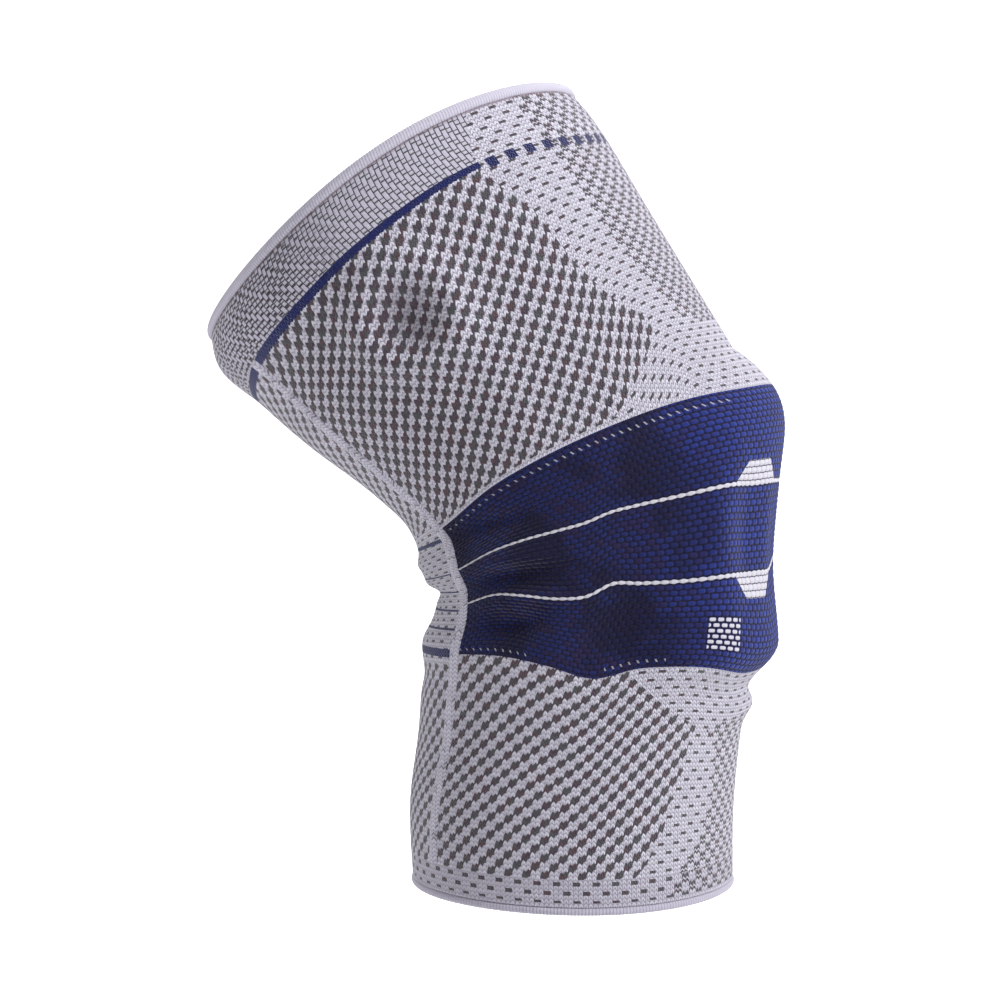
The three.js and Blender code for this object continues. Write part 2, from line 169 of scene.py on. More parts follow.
# Front edge of the dark side panels, and rear edge of the front panel
PANEL_EDGES = table("along side front", [
    (-1, 82, 58),
    (-0.92, 71, 53),
    (-0.86, 63.5, 45),
    (-0.81, 59.5, 40.5),
    (-0.74, 57, 36.5),
    (-0.68, 53.5, 36.5),
    (-0.6, 51, 37),
    (-0.552, 49.5, 37.5),
    (-0.53, 54, 12),
    (-0.47, 66, -10),
    (-0.42, 74, -10),
    (-0.2, 90, -10),
    (0.1, 90, -10),
    (0.205, 78, -10),
    (0.24, 69, -10),
    (0.285, 60, -10),
    (0.305, 56, 18),
    (0.33, 51.5, 32.5),
    (0.375, 50.5, 37.5),
    (0.42, 54.5, 39.5),
    (0.535, 59, 43),
    (0.69, 61, 44),
    (0.785, 65.3, 44.8),
    (0.85, 66, 45),
    (0.91, 62.5, 45),
    (1, 59, 45.5),
])

# Dashes of the navy stripe, and where it is solid
STRIPE = {"solid": 65.5, "dash_pitch": 5.75, "dash_share": 0.5, "first_dash": 62.3, "courses": 1.6,
          "dash_courses": 2.7}


def station_of(along):
    return along * np.where(np.asarray(along) < 0, CALF_LENGTH, THIGH_LENGTH)


def smooth_step(low, high, value):
    t = np.clip((value - low) / (high - low), 0, 1)
    return t * t * (3 - 2 * t)


def curve_through(places, values):
    """A smooth curve through the rows of a table, read at any place."""
    places = np.asarray(places, float)
    values = np.asarray(values, float)
    steps = np.diff(places)
    chords = np.diff(values) / steps
    inner = (chords[:-1] * steps[1:] + chords[1:] * steps[:-1]) / (steps[:-1] + steps[1:])
    slopes = np.concatenate([chords[:1], inner, chords[-1:]])

    def read(at):
        at = np.asarray(at, float)
        i = np.clip(np.searchsorted(places, at) - 1, 0, len(places) - 2)
        span = steps[i]
        t = (at - places[i]) / span
        rise = t * t * (3 - 2 * t)
        bend = span * t * (1 - t) * ((1 - t) * slopes[i] - t * slopes[i + 1])
        return values[i] * (1 - rise) + values[i + 1] * rise + bend

    return read


def section_curves():
    on_calf = SECTIONS["leg"] == "calf"
    station = SECTIONS["along"] * np.where(on_calf, CALF_LENGTH, THIGH_LENGTH)
    lean = SECTIONS["lean"] * np.where(on_calf, LEG_DEPTH["calf"], LEG_DEPTH["thigh"])
    axis_x = np.where(on_calf, 0, -math.sin(KNEE_FLEXION))
    axis_z = np.where(on_calf, 1, math.cos(KNEE_FLEXION))
    depth = np.array([LEG_DEPTH[size] for size in SECTIONS["size"]])
    width = np.array([LEG_WIDTH[size] for size in SECTIONS["size"]])
    columns = {
        "x": station * axis_x + lean * axis_z,
        "z": station * axis_z - lean * axis_x,
        "tilt": SECTIONS["tilt"] * KNEE_FLEXION,
        "half_depth": SECTIONS["depth"] * depth / 2,
        "half_width": SECTIONS["width"] * width / 2,
        "saddle": SECTIONS["saddle"] * LEG_WIDTH["thigh"],
        "front": SECTIONS["front"],
        "back": SECTIONS["back"],
    }
    return {name: curve_through(station, values) for name, values in columns.items()}


SECTION_CURVES = section_curves()


def angle_from_front(angle):
    return np.abs(np.arctan2(np.sin(angle), np.cos(angle)))


def pad_bulge(from_front, station):
    shape = PAD_BULGE
    edge = math.radians(shape["edge_angle"])
    fall_back = shape["shoulder"] * THIGH_LENGTH * (from_front / edge) ** 2
    top, crest = station_of(shape["top"]), station_of(shape["crest"])
    climb = np.clip((top - fall_back - station) / (top - crest), 0, 1)
    upper = 1 - (1 - climb) ** shape["steepness"]
    lower = smooth_step(station_of(shape["foot"]), station_of(shape["sill"]), station)
    side = 1 - smooth_step(math.radians(shape["crest_angle"]), edge, from_front)
    dip = KNEECAP_DIP
    off_middle = (station - station_of(dip["middle"])) / (dip["high"] * CALF_LENGTH)
    across = from_front / math.radians(dip["angle"])
    hollow = np.exp(-off_middle ** 2) * (1 - smooth_step(dip["inner"], dip["outer"], across))
    return PAD_RISE * upper * lower * side * (1 - dip["share"] * hollow)


def fold_height(from_front, station):
    radius = LEG_WIDTH["knee"] / 2
    height = 0
    for i in range(len(FOLDS["angle"])):
        fold = {name: values[i] for name, values in FOLDS.items()}
        turn = math.radians(fold["turn"])
        round_by = (from_front - math.radians(fold["angle"])) * radius
        along = station - station_of(fold["along"])
        across = round_by * math.cos(turn) + along * math.sin(turn)
        up = along * math.cos(turn) - round_by * math.sin(turn)
        reach = math.radians(fold["wide"]) * radius
        height = height + fold["rise"] * FOLD_RISE * np.exp(
            -(across / reach) ** 2 - (up / (fold["high"] * CALF_LENGTH)) ** 2)
    ring = THIGH_RING
    ring_round = (from_front - math.radians(ring["angle"])) * LEG_WIDTH["thigh"] / 2
    distance = np.hypot(ring_round, station - station_of(ring["along"])) / THIGH_LENGTH
    crest = np.exp(-((distance - ring["radius"]) / ring["spread"]) ** 2)
    height = height + FOLD_RISE * ring["rise"] * crest
    return height + FOLD_RISE * ring["hollow"] * np.exp(-(distance / ring["spread"]) ** 2)


def outer_point(angle, station, plain=False):
    """Points on the outside of the knit, or of its form without pad and folds when plain is true."""
    angle, station = np.broadcast_arrays(np.asarray(angle, float), np.asarray(station, float))
    at = {name: read(station) for name, read in SECTION_CURVES.items()}
    cosine, sine = np.cos(angle), np.sin(angle)
    power = at["front"] + (at["back"] - at["front"]) * (1 - cosine) / 2
    in_depth = np.abs(cosine / at["half_depth"]) ** power
    in_width = np.abs(sine / at["half_width"]) ** power
    radius = (in_depth + in_width) ** (-1 / power)
    if not plain:
        from_front = angle_from_front(angle)
        radius = radius + pad_bulge(from_front, station) + fold_height(from_front, station)
    forward = radius * cosine
    lift = at["saddle"] * sine ** 2 * (1 + SADDLE_SKEW * cosine)
    return np.stack([
        at["x"] + forward * np.cos(at["tilt"]) - lift * np.sin(at["tilt"]),
        radius * sine,
        at["z"] + forward * np.sin(at["tilt"]) + lift * np.cos(at["tilt"]),
    ], -1)


def unit(vectors):
    return vectors / np.linalg.norm(vectors, axis=-1, keepdims=True)


def outward(angle, station, plain=False):
    step = 0.01
    round_leg = outer_point(angle + step, station, plain) - outer_point(angle - step, station, plain)
    up = outer_point(angle, station + 1, plain) - outer_point(angle, station - 1, plain)
    return unit(np.cross(round_leg, up))


def point_at(angle, station, depth, plain=False):
    """Points at a depth below the outside, measured square to the surface."""
    depth = np.asarray(depth, float)
    return outer_point(angle, station, plain) - outward(angle, station, plain) * depth[..., None]


def stretch_round(angle, station):
    step = 0.02
    chord = outer_point(angle + step, station) - outer_point(angle - step, station)
    return np.linalg.norm(chord, axis=-1) / (2 * step)


def stretch_along(angle, station):
    chord = outer_point(angle, station + 1) - outer_point(angle, station - 1)
    return np.linalg.norm(chord, axis=-1) / 2


# Lines on the leg, as a station for each angle
def line_through(rows, column, length):
    read = curve_through(np.radians(rows["angle"]), rows[column])
    return lambda angle: read(angle_from_front(angle)) * length


band_lift = line_through(ZONE_EDGES, "band", TOP_BAND)
zone_top = line_through(ZONE_EDGES, "top", THIGH_LENGTH)
zone_bottom = line_through(ZONE_EDGES, "bottom", CALF_LENGTH)
first_white_line = line_through(WHITE_LINES, "first", CALF_LENGTH)
second_white_line = line_through(WHITE_LINES, "second", CALF_LENGTH)


def top_end(angle):
    return THIGH_LENGTH - TOP_ROLL / stretch_along(angle, THIGH_LENGTH)


def bottom_end(angle):
    return -CALF_LENGTH + BOTTOM_ROLL / stretch_along(angle, -CALF_LENGTH)


def stripe_line(angle):
    return top_end(angle) - TOP_BAND - TOP_ROLL + band_lift(angle)


def bottom_band_line(angle):
    return bottom_end(angle) + BOTTOM_BAND / stretch_along(angle, -CALF_LENGTH)


# Angles of the seams and of the strips between them
seam_angle = curve_through(station_of(SEAM_PATH["along"]), np.radians(SEAM_PATH["angle"]))


def seam_edge(station, side):
    angle = seam_angle(station)
    return angle + side * SEAM_WIDTH / 2 / stretch_round(angle, station)


def panel_span(station, share):
    return seam_edge(station, -1) * (2 * share - 1)


def back_span(station, share):
    edge = seam_edge(station, 1)
    return edge + (2 * math.pi - 2 * edge) * share


def rib_span(on_left):
    def span(station, share):
        low, high = seam_edge(station, -1), seam_edge(station, 1)
        return (low if on_left else -high) + (high - low) * share
    return span


def whole_turn(station, share):
    return math.pi * (2 * share - 1) + 0 * station


INSIDE_STEP = 4  # the inside of the knit has one point for this many of the outside


class Grid:
    """Angles and stations of a block of points, with the stitch that each one lies on."""

    def __init__(self, span, stretches, columns, row_size, wales, on_thigh=False):
        """stretches are (low line, high line, first course, last course), from the bottom up."""
        share = np.linspace(0, 1, columns + 1)[:, None]
        some_angles = np.array([0.0, 1.0, 2.0])
        angles, stations, courses = [], [], []
        for place, (low, high, first, last) in enumerate(stretches):
            middle = float(np.mean(high(some_angles) - low(some_angles)))
            rows = max(INSIDE_STEP, INSIDE_STEP * round(middle / row_size / INSIDE_STEP))
            up = np.linspace(0, 1, rows + 1)[None, 0 if place == 0 else 1:]
            station = np.zeros((columns + 1, up.shape[1]))
            for _ in range(5):
                angle = span(station, share)
                station = low(angle) * (1 - up) + high(angle) * up
            angles.append(angle)
            stations.append(station)
            courses.append(first + (last - first) * up + 0 * angle)
        self.angle = np.concatenate(angles, 1)
        self.station = np.concatenate(stations, 1)
        self.course = np.concatenate(courses, 1)
        self.wale = wales * (self.angle + math.pi) / (2 * math.pi)
        if on_thigh:
            self.wale = self.wale + THIGH_LEAN * self.course
            top = stretches[-1][3]
            more = front_courses(np.degrees(angle_from_front(self.angle)))
            self.course = top - (top - self.course) * more

    def every(self, step):
        """The same block with fewer points."""
        coarse = object.__new__(Grid)
        for name in ("angle", "station", "course", "wale"):
            setattr(coarse, name, getattr(self, name)[::step, ::step])
        return coarse

    def points(self, depth):
        return point_at(self.angle, self.station, depth + 0 * self.angle)

    def maps(self):
        """UV maps: the stitch, the place on the leg, and the distance inside each panel."""
        along = self.station / np.where(self.station < 0, CALF_LENGTH, THIGH_LENGTH)
        from_front = np.degrees(angle_from_front(self.angle))
        radius = stretch_round(self.angle, self.station) * math.radians(1)
        side = (from_front - SIDE_EDGE(along)) * radius
        front = (FRONT_EDGE(along) - from_front) * radius
        return {
            "stitch": (self.wale, self.course),
            "place": (from_front, self.station),
            "zones": (side, front),
        }


SIDE_EDGE = curve_through(PANEL_EDGES["along"], PANEL_EDGES["side"])
FRONT_EDGE = curve_through(PANEL_EDGES["along"], PANEL_EDGES["front"])


class Body:
    """Faces of a closed mesh, collected piece by piece."""

    def __init__(self):
        self.points = []
        self.maps = []
        self.faces = []
        self.inside = []
        self.count = 0

    def add(self, points, maps):
        first = self.count
        flat = points.reshape(-1, 3)
        self.points.append(flat)
        self.maps.append({name: np.stack(pair, -1).reshape(-1, 2) for name, pair in maps.items()})
        self.count += len(flat)
        return first + np.arange(len(flat)).reshape(points.shape[:-1])

    def skin(self, index, inward):
        corners = [index[:-1, :-1], index[1:, :-1], index[1:, 1:], index[:-1, 1:]]
        if inward:
            corners.reverse()
        quads = np.stack(corners, -1).reshape(-1, 4)
        self.faces += quads.tolist()
        self.inside += [inward] * len(quads)

    def rim(self, fine, coarse, flip):
        """Joins a finely divided edge to a coarser one."""
        ratio = (len(fine) - 1) // (len(coarse) - 1)
        for j in range(len(coarse) - 1):
            start = ratio * j
            middle = start + (ratio + 1) // 2
            triangles = [(fine[i], fine[i + 1], coarse[j]) for i in range(start, middle)]
            triangles.append((coarse[j], fine[middle], coarse[j + 1]))
            triangles += [(fine[i], fine[i + 1], coarse[j + 1]) for i in range(middle, start + ratio)]
            for a, b, c in triangles:
                self.faces.append([int(b), int(a), int(c)] if flip else [int(a), int(b), int(c)])
                self.inside.append(False)


def new_object(name, data):
    made = bpy.data.objects.new(name, data)
    bpy.context.scene.collection.objects.link(made)
    return made


def make_object(name, body, materials, wraps=None):
    """A mesh object in metres. wraps gives pairs of points that are one and the same."""
    points = np.concatenate(body.points) * MM
    keep = np.arange(len(points))
    if wraps is not None:
        keep[wraps[1]] = wraps[0]
    used, place = np.unique(keep, return_inverse=True)
    mesh = bpy.data.meshes.new(name)
    corner_index = np.array([corner for face in body.faces for corner in face])
    mesh.from_pydata(points[used].tolist(), [], [[int(place[c]) for c in face] for face in body.faces])
    for map_name in body.maps[0]:
        values = np.concatenate([maps[map_name] for maps in body.maps])
        layer = mesh.uv_layers.new(name=map_name)
        layer.data.foreach_set("uv", values[corner_index].astype(np.float32).ravel())
    for material in materials:
        mesh.materials.append(material)
    if len(materials) > 1:
        mesh.polygons.foreach_set("material_index", np.array(body.inside, np.int32))
    mesh.polygons.foreach_set("use_smooth", np.ones(len(body.faces), bool))
    mesh.set_sharp_from_angle(angle=SHARP_EDGE)
    return new_object(name, mesh)


# Heights in the unit square of the baked pictures
OUTER_BAKE = (0.01, 0.69)
INNER_BAKE = (0.72, 0.98)
HEM_BAKE = (0.02, 0.98)


def bake_layout(grid_shape, heights):
    """A place in the unit square for each point, between two heights."""
    across = np.linspace(0.01, 0.99, grid_shape[0])[:, None] * np.ones(grid_shape[1])
    up = np.ones(grid_shape[0])[:, None] * np.linspace(*heights, grid_shape[1])
    return across, up


def front_courses(from_front):
    """How many courses there are for one at the side of the thigh."""
    rule = FRONT_COURSES
    return 1 + (1 - ramp(rule["to"], rule["from"], from_front)) * rule["share"]


def knit_piece(name, grid, materials, relief=None, closed=False):
    """A closed wall of knit: a fine outside with the relief of its stitches, and a plain inside."""
    inner_grid = grid.every(INSIDE_STEP)
    height = relief(grid) if relief else 0
    body = Body()
    outer_maps = {**grid.maps(), "OFBake": bake_layout(grid.angle.shape, OUTER_BAKE)}
    outside = body.add(grid.points(-height), outer_maps)
    inner_maps = {**inner_grid.maps(), "OFBake": bake_layout(inner_grid.angle.shape, INNER_BAKE)}
    inside = body.add(inner_grid.points(KNIT_WALL), inner_maps)
    body.skin(outside, False)
    body.skin(inside, True)
    body.rim(outside[:, 0], inside[:, 0], True)
    body.rim(outside[:, -1], inside[:, -1], False)
    wraps = None
    if closed:
        wraps = [np.concatenate([outside[end], inside[end]]) for end in (0, -1)]
    else:
        body.rim(outside[0], inside[0], False)
        body.rim(outside[-1], inside[-1], True)
    return make_object(name, body, materials, wraps)


# Arithmetic that works on arrays of numbers and on the numbers inside a material
class Term:
    """A number inside a material: sums and products of terms make its math nodes."""

    def __init__(self, tree, socket):
        self.tree = tree
        self.socket = socket

    def math(self, operation, *others):
        node = self.tree.nodes.new("ShaderNodeMath")
        node.operation = operation
        for place, value in zip(node.inputs, (self, *others)):
            feed(self.tree, value, place)
        return Term(self.tree, node.outputs[0])

    def __add__(self, other):
        return self.math("ADD", other)

    def __sub__(self, other):
        return self.math("SUBTRACT", other)

    def __rsub__(self, other):
        return self.math("MULTIPLY_ADD", -1, other)

    def __mul__(self, other):
        return self.math("MULTIPLY", other)

    def __truediv__(self, other):
        return self.math("DIVIDE", other)

    __radd__ = __add__
    __rmul__ = __mul__


def feed(tree, value, place):
    if isinstance(value, Term):
        tree.links.new(value.socket, place)
    else:
        place.default_value = value


def on_both(operation, numeric):
    def apply(first, *others):
        if isinstance(first, Term):
            return first.math(operation, *others)
        return numeric(first, *others)
    return apply


floor = on_both("FLOOR", np.floor)
fract = on_both("FRACT", lambda value: value - np.floor(value))
absolute = on_both("ABSOLUTE", np.abs)
least = on_both("MINIMUM", np.minimum)
most = on_both("MAXIMUM", np.maximum)
remainder = on_both("FLOORED_MODULO", np.mod)
over = on_both("GREATER_THAN", lambda value, limit: (value > limit) * 1.0)
under = on_both("LESS_THAN", lambda value, limit: (value < limit) * 1.0)
cosine_of = on_both("COSINE", np.cos)


def ramp(low, high, value):
    """From 0 at low to 1 at high, with a soft start and end."""
    if not isinstance(value, Term):
        return smooth_step(low, high, value)
    node = value.tree.nodes.new("ShaderNodeMapRange")
    node.interpolation_type = "SMOOTHSTEP"
    for place, number in zip(node.inputs, (value, low, high, 0, 1)):
        feed(value.tree, number, place)
    return Term(value.tree, node.outputs[0])


def arch(share):
    """0 at both ends of a share from 0 to 1, and 1 in its middle."""
    off = share * 2 - 1
    return 1 - off * off


def soft_between(low, high, soft, value):
    """1 between low and high, with soft ends just inside them."""
    return ramp(0, soft, value - low) * ramp(0, soft, high - value)


def within(value, low, high):
    return over(value, low) * under(value, high)


def near(value, middle, reach):
    return under(absolute(value - middle), reach)


SQUARE_LINK = 0.78  # how strongly the dark squares join


# The patterns of the knit. Each takes wales and courses.
def stitch(wale, course, peak=0.55):
    """Which stitch a place lies on, and its yarn's height there: each stitch is an arrowhead."""
    off = absolute(fract(wale) * 2 - 1)
    bent = course + off * peak
    up = fract(bent)
    groove = 1 - ramp(0.62, 1.0, off) * 0.6
    parting = 1 - (1 - ramp(0.0, 0.3, off)) * 0.25
    return floor(wale), floor(bent), up, arch(up) * groove * parting


def checks(wale, course):
    """1 on blocks of two wales by two courses, which alternate like a chessboard's squares."""
    shift = floor(course / 2) * 2
    return under(remainder(wale + shift, 4), 1.5)


def part_checks(wale, course, up):
    """1 on 0.85 of the upper stitches and 0.6 of the lower stitches of each dark block."""
    on_upper = remainder(course, 2)
    share = on_upper * 0.85 + (1 - on_upper) * 0.6
    return checks(wale, course) * under(up, share)


def flat_dashes(wale, course, share):
    """1 on one flat dash, 1.5 wales wide, in each dark block, of that share of its height."""
    return checks(wale, floor(course)) * near(fract(course / 2), 0.5, share / 2)


def linked_checks(wale, course, link=SQUARE_LINK):
    """A chessboard whose dark squares join along the diagonals that climb towards the front."""
    quarter = math.pi / 2
    climbing = cosine_of((wale - course) * quarter)
    falling = cosine_of((wale + course) * quarter)
    return climbing * link - falling * 0.5


def panel_pattern(wale, course, side, front, link=SQUARE_LINK, edge=0.19, dash=0.32):
    """1 on the dark yarn of the side panels, the front panels and the strip between them.

    side and front are distances inside those panels. A stronger link joins more of the dark
    squares, a lower edge makes them larger, and dash is the height of the strip's dashes.
    """
    column, row, up = stitch(wale, course)[:3]
    dense = over(linked_checks(wale, row + up, link), edge) * over(side, 0)
    medium = part_checks(column, row, up) * over(front, 0)
    sparse = flat_dashes(wale, course, dash) * under(most(front, side), 0)
    return most(dense, most(medium, sparse))


def basket(wale, course):
    """Height of the long and short bricks of the top band."""
    place = fract(course / 4 + floor(wale) * 0.36)
    long_brick = soft_between(0, 0.66, 0.05, place)
    short_brick = soft_between(0.7, 1, 0.05, place)
    return soft_between(0, 1, 0.16, fract(wale)) * most(long_brick, short_brick)


def navy_brick(wale, row):
    """Height of the navy knit's short bars, two wales wide, laid like bricks."""
    level = row + 0.5
    bar = soft_between(0, 1, 0.3, fract(wale / 2 + floor(level) * 0.5))
    return arch(fract(level)) * (bar * 0.7 + 0.3)


def ladder(wale, course):
    """Height of the loose floats on the reverse of the knit."""
    return arch(fract(course)) * (ramp(0, 0.3, fract(wale)) * 0.6 + 0.4)


# Materials
def srgb(red, green, blue):
    """A screen colour from 0 to 255 as the light it stands for."""
    shares = [value / 255 for value in (red, green, blue)]
    linear = [s / 12.92 if s <= 0.04045 else ((s + 0.055) / 1.055) ** 2.4 for s in shares]
    return (*linear, 1)


LIGHT_YARN = srgb(208, 206, 220)
# LIGHT_SHADE is the pale yarn's painted shade, for grooves and shaded places, and also the duller tone
# that stitches vary to at random.
LIGHT_SHADE = srgb(158, 152, 170)
DARK_YARN = srgb(68, 55, 68)
DARK_TINT = srgb(72, 75, 78)
BROWN_TINT = srgb(80, 62, 68)
NAVY_YARN = srgb(21, 30, 84)
# Painted light: the navy's brighter, bluer colour towards the front, where the light falls.
NAVY_PAINTED_LIGHT = srgb(32, 48, 126)
# NAVY_SHADE is the navy's painted shade, for its grooves and its darker mottling towards the back.
NAVY_SHADE = srgb(9, 8, 40)
NAVY_PLUM = srgb(32, 18, 48)
STRIPE_YARN = srgb(14, 24, 84)
WHITE_YARN = srgb(192, 190, 200)
HEM_SHADOW = srgb(120, 100, 108)

# The ring's darker middle is painted shade in its hollow: its width in degrees, height in mm and depth.
RING_SHADE = {"wide": 11, "high": 14, "depth": 0.35}  # the ring's darker middle: degrees and mm
DARK_SINK = 0.45  # how much lower the dark yarn lies, as a share of the stitch's height
# The thigh's dark squares, which grow between two angles towards the back
THIGH_SQUARES = {"link": 0.69, "edge": 0.11, "rear_edge": 0.16, "rear": (92, 125)}
# Navy lines across the back strip, each a station and a width
NAVY_LINES = ((14.5, 2.0), (-5.5, 0.9), (-18.5, 1.0), (-28.5, 1.0), (-36.5, 0.9), (-45.5, 3.0))
KNEE_BEND = (-50, 22)  # stations between which the back strip has dashes


def set_inputs(node, values):
    for name, value in values.items():
        node.inputs[name].default_value = value


class Paint:
    """Builds one material: its coordinates, colours, relief and shader."""

    def __init__(self, name, roughness=0.9, sheen=0.25):
        self.material = bpy.data.materials.new(name)
        self.material.use_nodes = True
        self.tree = self.material.node_tree
        self.shader = self.tree.nodes["Principled BSDF"]
        set_inputs(self.shader, {
            "Roughness": roughness, "Sheen Weight": sheen, "Sheen Roughness": 0.5,
            "Specular IOR Level": 0.25,
        })

    def node(self, kind):
        return self.tree.nodes.new(kind)

    def map(self, name):
        """The two numbers of a UV map."""
        source = self.node("ShaderNodeUVMap")
        source.uv_map = name
        split = self.node("ShaderNodeSeparateXYZ")
        self.tree.links.new(source.outputs[0], split.inputs[0])
        return Term(self.tree, split.outputs[0]), Term(self.tree, split.outputs[1])

    def noise(self, scale, detail=2):
        """Cloudy variation over the object, from 0 to 1."""
        place = self.node("ShaderNodeTexCoord")
        cloud = self.node("ShaderNodeTexNoise")
        set_inputs(cloud, {"Scale": scale, "Detail": detail, "Roughness": 0.5})
        self.tree.links.new(place.outputs["Object"], cloud.inputs["Vector"])
        return Term(self.tree, cloud.outputs["Fac"])

    def chance(self, first, second):
        """A steady random number for each pair of whole numbers."""
        joined = self.node("ShaderNodeCombineXYZ")
        feed(self.tree, first, joined.inputs[0])
        feed(self.tree, second, joined.inputs[1])
        source = self.node("ShaderNodeTexWhiteNoise")
        source.noise_dimensions = "2D"
        self.tree.links.new(joined.outputs[0], source.inputs["Vector"])
        return Term(self.tree, source.outputs["Value"])

    def mix(self, share, first, second):
        """A colour between two others."""
        node = self.node("ShaderNodeMix")
        node.data_type = "RGBA"
        feed(self.tree, share, node.inputs["Factor"])
        for place, colour in zip((node.inputs[6], node.inputs[7]), (first, second)):
            feed(self.tree, colour, place)
        return Term(self.tree, node.outputs[2])

    def finish(self, colour, height, depth):
        """Joins the colour, and the height as relief of that depth in millimetres."""
        feed(self.tree, colour, self.shader.inputs["Base Color"])
        bump = self.node("ShaderNodeBump")
        set_inputs(bump, {"Strength": 1.0, "Distance": depth * MM})
        feed(self.tree, height, bump.inputs["Height"])
        self.tree.links.new(bump.outputs[0], self.shader.inputs["Normal"])
        return self.material


def light_yarn(paint, wale, course, height):
    """The pale yarn, with painted shade in its grooves, and a little different from stitch to stitch."""
    shade = paint.mix(ramp(0.1, 0.75, height), LIGHT_SHADE, LIGHT_YARN)
    return paint.mix(paint.chance(wale, course) * 0.35, shade, LIGHT_SHADE)


def dark_yarn(paint, wale, course):
    tint = paint.mix(paint.chance(course, wale), DARK_YARN, DARK_TINT)
    return paint.mix(ramp(0.6, 1.0, paint.chance(wale, course + 7)), tint, BROWN_TINT)


def two_yarns(paint, wale, course, dark, painted_shade=0):
    """The colour and the height of a knit whose dark yarn lies where dark is 1, with painted shade
    greying the pale yarn by the share given last.
    """
    column, row, _, height = stitch(wale, course)
    pale = light_yarn(paint, column, row, height)
    if painted_shade:
        pale = paint.mix(painted_shade, pale, LIGHT_SHADE)
    colour = paint.mix(dark, pale, dark_yarn(paint, column, row))
    return colour, height * (1 - dark * DARK_SINK)


def calf_material():
    """The panel of the calf: linked checks, sparse dashes beside them and a paler check in front."""
    paint = Paint("pattern_knit")
    wale, course = paint.map("stitch")
    side, front = paint.map("zones")
    dark = panel_pattern(wale, course, side, front)
    return paint.finish(*two_yarns(paint, wale, course, dark), 0.5)


def thigh_material():
    """The panel of the thigh, with the navy stripe at its top and a pale course at its foot."""
    paint = Paint("thigh_knit")
    wale, course = paint.map("stitch")
    from_front, station = paint.map("place")
    side, front = paint.map("zones")
    top = COURSES["thigh"]
    from_foot = top - (top - course) / front_courses(from_front)
    squares = THIGH_SQUARES
    edge = squares["edge"] - ramp(*squares["rear"], from_front) * squares["rear_edge"]
    dark = panel_pattern(wale, course, side, front, squares["link"], edge) * over(from_foot, 1)
    colour, height = two_yarns(paint, wale, course, dark)
    # Painted shade in the hollow middle of the thigh's ring.
    round_ring = (from_front - THIGH_RING["angle"]) / RING_SHADE["wide"]
    along_ring = (station - THIGH_RING["along"] * THIGH_LENGTH) / RING_SHADE["high"]
    in_ring = 1 - ramp(0.1, 1, round_ring * round_ring + along_ring * along_ring)
    colour = paint.mix(in_ring * RING_SHADE["depth"], colour, DARK_YARN)
    colour = with_stripe(paint, colour, from_front, top - course, wale)
    return paint.finish(colour, height, 0.5)


def with_stripe(paint, colour, from_front, courses_off, wale):
    """The colour under the navy stripe, which is solid at the sides and back, and dashes in front."""
    level = courses_off + cosine_of(wale * 2 * math.pi) * 0.12
    share = STRIPE["dash_share"]
    phase = fract((STRIPE["first_dash"] - from_front) / STRIPE["dash_pitch"] + share / 2)
    dashes = under(phase, share) * under(from_front, STRIPE["solid"])
    solid = over(from_front, STRIPE["solid"]) * under(level, STRIPE["courses"])
    stripe = most(solid, dashes * under(level, STRIPE["dash_courses"]))
    return paint.mix(stripe, colour, STRIPE_YARN)


def top_band_material():
    """Basket knit at the sides, sparse dashes in front of it and a paler check at the front."""
    paint = Paint("band_knit")
    wale, course = paint.map("stitch")
    from_front = paint.map("place")[0]
    side, front = paint.map("zones")
    level = course * BAND_STITCH_COURSES
    bricks = basket(wale * (BASKET_WALES / WALES["thigh"]), course)
    dark = panel_pattern(wale, level, -1, front) * under(side, 0)
    knitted, height = two_yarns(paint, wale, level, dark)
    # Painted shade in the gaps between the bricks, in the dark tint; the pale bricks are dulled with the
    # pale yarn's painted shade.
    woven = paint.mix(ramp(0.15, 0.95, bricks), DARK_TINT, paint.mix(0.65, LIGHT_YARN, LIGHT_SHADE))
    specks = over(fract(course / 2.5 + floor(wale) * 0.5), 0.78) * ramp(98, 125, from_front)
    woven = paint.mix(specks, woven, DARK_YARN)
    in_basket = over(side, 0)
    colour = paint.mix(in_basket, knitted, woven)
    under_hem = ramp(COURSES["top_band"] - 0.9, COURSES["top_band"], course)
    colour = paint.mix(under_hem * 0.7, colour, HEM_SHADOW)
    relief = bricks * in_basket + height * (1 - in_basket)
    return paint.finish(colour, relief, 0.45)


def bottom_band_material():
    """Rows of dashes on the pale knit of the lower edge, greyed with painted shade."""
    paint = Paint("bottom_band_knit")
    wale, course = paint.map("stitch")
    front = paint.map("zones")[1]
    dark = panel_pattern(wale, course, -1, front, dash=0.44) * over(course, 0.9)
    # The pale yarn here is greyed with painted shade.
    return paint.finish(*two_yarns(paint, wale, course, dark, painted_shade=0.35), 0.5)


def back_material():
    """The strip down the back: linked checks, dashes and navy lines at the bend, and the stripe."""
    paint = Paint("back_knit")
    wale, course = paint.map("stitch")
    from_front, station = paint.map("place")
    row, up = stitch(wale, course)[1:3]
    bend = within(station, *KNEE_BEND)
    dense = over(linked_checks(wale, row + up), 0.25) * (1 - bend)
    dark = most(dense, flat_dashes(wale, course, 0.34) * bend)
    colour, height = two_yarns(paint, wale, course, dark)
    for middle, width in NAVY_LINES:
        colour = paint.mix(near(station, middle, width / 2), colour, STRIPE_YARN)
    colour = with_stripe(paint, colour, from_front, COURSES["back"] - course, wale)
    return paint.finish(colour, height, 0.5)


